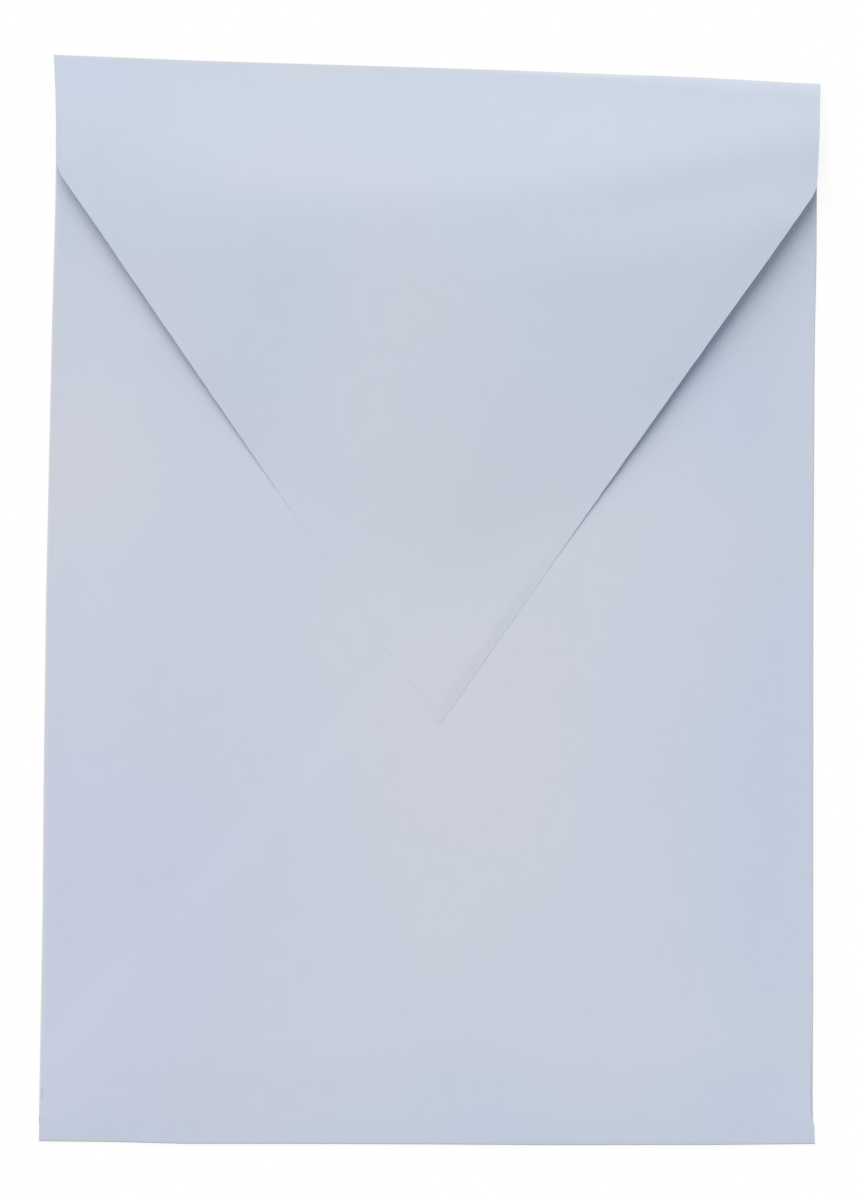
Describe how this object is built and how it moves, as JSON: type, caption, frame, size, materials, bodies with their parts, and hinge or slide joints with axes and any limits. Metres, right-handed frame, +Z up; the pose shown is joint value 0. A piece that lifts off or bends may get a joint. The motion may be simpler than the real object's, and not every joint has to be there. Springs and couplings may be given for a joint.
{
  "type": "envelope",
  "caption": "Paper envelope folded from one die-cut sheet, with glued side and bottom flaps and a long pointed top flap stuck down at its point over an empty pocket.",
  "frame": {"origin": "centre of the envelope's outline, on the surface that its front panel lies on", "axes": "+X across the envelope, +Y along its length towards the top fold, +Z up out of the flap side"},
  "size_m": [0.1334, 0.1842, 0.0045],
  "materials": {
    "paper": "matte"
  },
  "bodies": {
    "root": {"envelope": "paper"}
  },
  "joints": []
}
